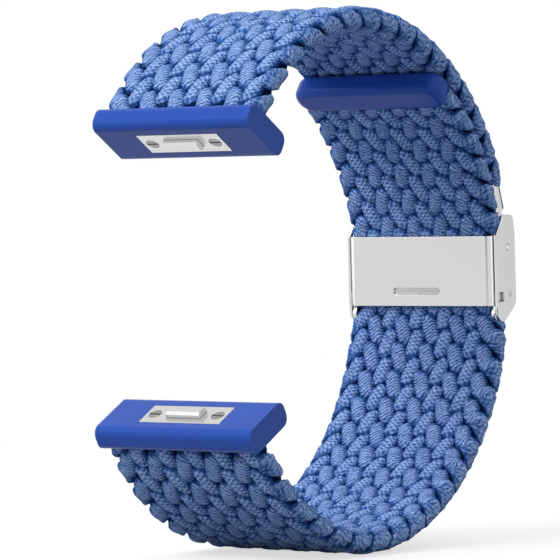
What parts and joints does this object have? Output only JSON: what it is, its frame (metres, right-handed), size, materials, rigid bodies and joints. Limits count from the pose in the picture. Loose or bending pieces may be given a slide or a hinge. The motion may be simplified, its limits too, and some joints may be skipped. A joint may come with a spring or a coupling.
{
  "type": "watch strap",
  "caption": "Braided watch strap with sliding lug connectors, set to length by a lever clasp that grips the long strap and carries the short one.",
  "frame": {"origin": "middle of the lower lug connector's rail", "axes": "+X across the strap towards the crown side of the watch, +Z from the lower (six o'clock) connector to the upper one, -Y the way the watch face looks"},
  "size_m": [0.0226, 0.0594, 0.0651],
  "materials": {
    "braid": "matte braided yarn",
    "blue_plastic": "smooth gloss",
    "steel": "fine satin",
    "spring_steel": "plain strip",
    "screw_steel": "dark satin"
  },
  "bodies": {
    "long_strap": {"long_braid": "braid", "end_cap": "blue_plastic", "lower_lug_body": "blue_plastic", "lower_lug_pin": "steel", "lower_latch_spring": "spring_steel", "lower_latch_cover": "steel", "lower_latch_screws": "screw_steel"},
    "clasp": {"clasp_frame": "steel", "pivot_rivets": "steel", "detent_studs": "steel", "link_bar": "steel"},
    "lever": {"cover_lever": "steel", "grip_bar": "steel"},
    "short_strap": {"short_braid": "braid", "ferrule": "steel", "upper_lug_body": "blue_plastic", "upper_lug_pin": "steel", "upper_latch_spring": "spring_steel", "upper_latch_cover": "steel", "upper_latch_screws": "screw_steel"},
    "upper_button": {"upper_latch_button": "steel"},
    "lower_button": {"lower_latch_button": "steel"}
  },
  "joints": [
    {"name": "strap_adjust", "type": "hinge", "parent": "long_strap", "child": "clasp", "pos_m": [0, 0.02256, 0.01546], "axis": [1, 0, 0], "range_deg": [-40, 32]},
    {"name": "lever_open", "type": "hinge", "parent": "clasp", "child": "lever", "pos_m": [0, 0.05321, 0.02101], "axis": [1, 0, 0], "range_deg": [0, 75]},
    {"name": "link_swing", "type": "hinge", "parent": "clasp", "child": "short_strap", "pos_m": [0, 0.05365, 0.02424], "axis": [-1, 0, 0], "range_deg": [0, 50]},
    {"name": "upper_latch_press", "type": "slide", "parent": "short_strap", "child": "upper_button", "axis": [0, 0.4985, 0.8669], "range_m": [0, 0.0006], "stiffness_N_per_m": 1200, "springref_m": -0.0005, "deforming": ["upper_latch_spring"]},
    {"name": "lower_latch_press", "type": "slide", "parent": "long_strap", "child": "lower_button", "axis": [0, 0.4863, -0.8738], "range_m": [0, 0.0006], "stiffness_N_per_m": 1200, "springref_m": -0.0005, "deforming": ["lower_latch_spring"]}
  ]
}
